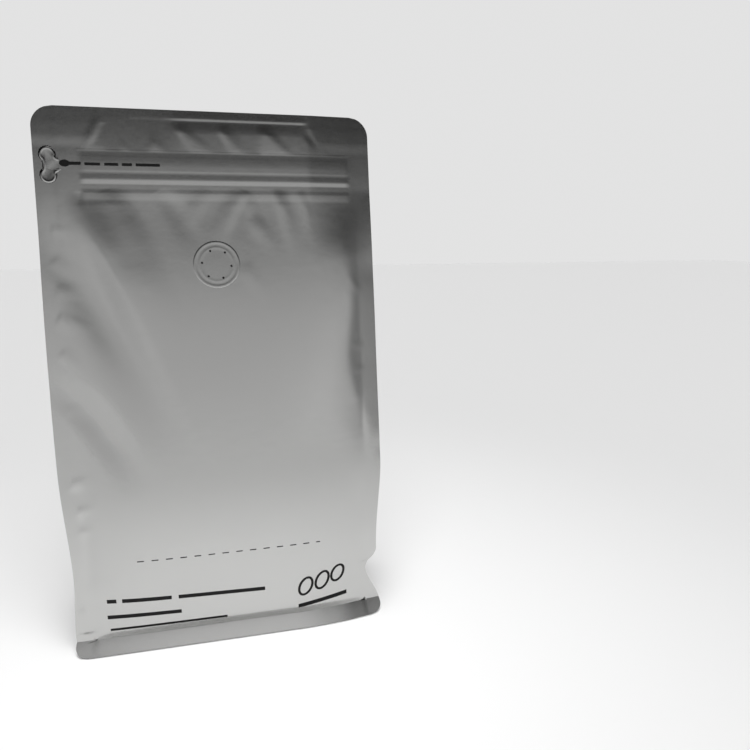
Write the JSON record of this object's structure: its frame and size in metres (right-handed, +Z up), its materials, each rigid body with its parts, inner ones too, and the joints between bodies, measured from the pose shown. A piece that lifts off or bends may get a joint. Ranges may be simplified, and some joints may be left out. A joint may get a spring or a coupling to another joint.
{
  "type": "flat-bottom coffee bag",
  "caption": "Filled and shut coffee bag that stands on its flat bottom, with folded side gussets, sealed edges, a press zip, a pull tab and a round valve in front.",
  "frame": {"origin": "middle of the base, on the surface that the bag stands on", "axes": "+Z up to the top edge, the front panel faces -Y, +X to the right seen from the front"},
  "size_m": [0.15, 0.0602, 0.2501],
  "materials": {
    "film": "satin metallised film",
    "ink": "flat black print"
  },
  "bodies": {
    "root": {"pouch": "film", "zip_strip": "film", "pull_tab": "film", "degassing_valve": "film"}
  },
  "joints": []
}
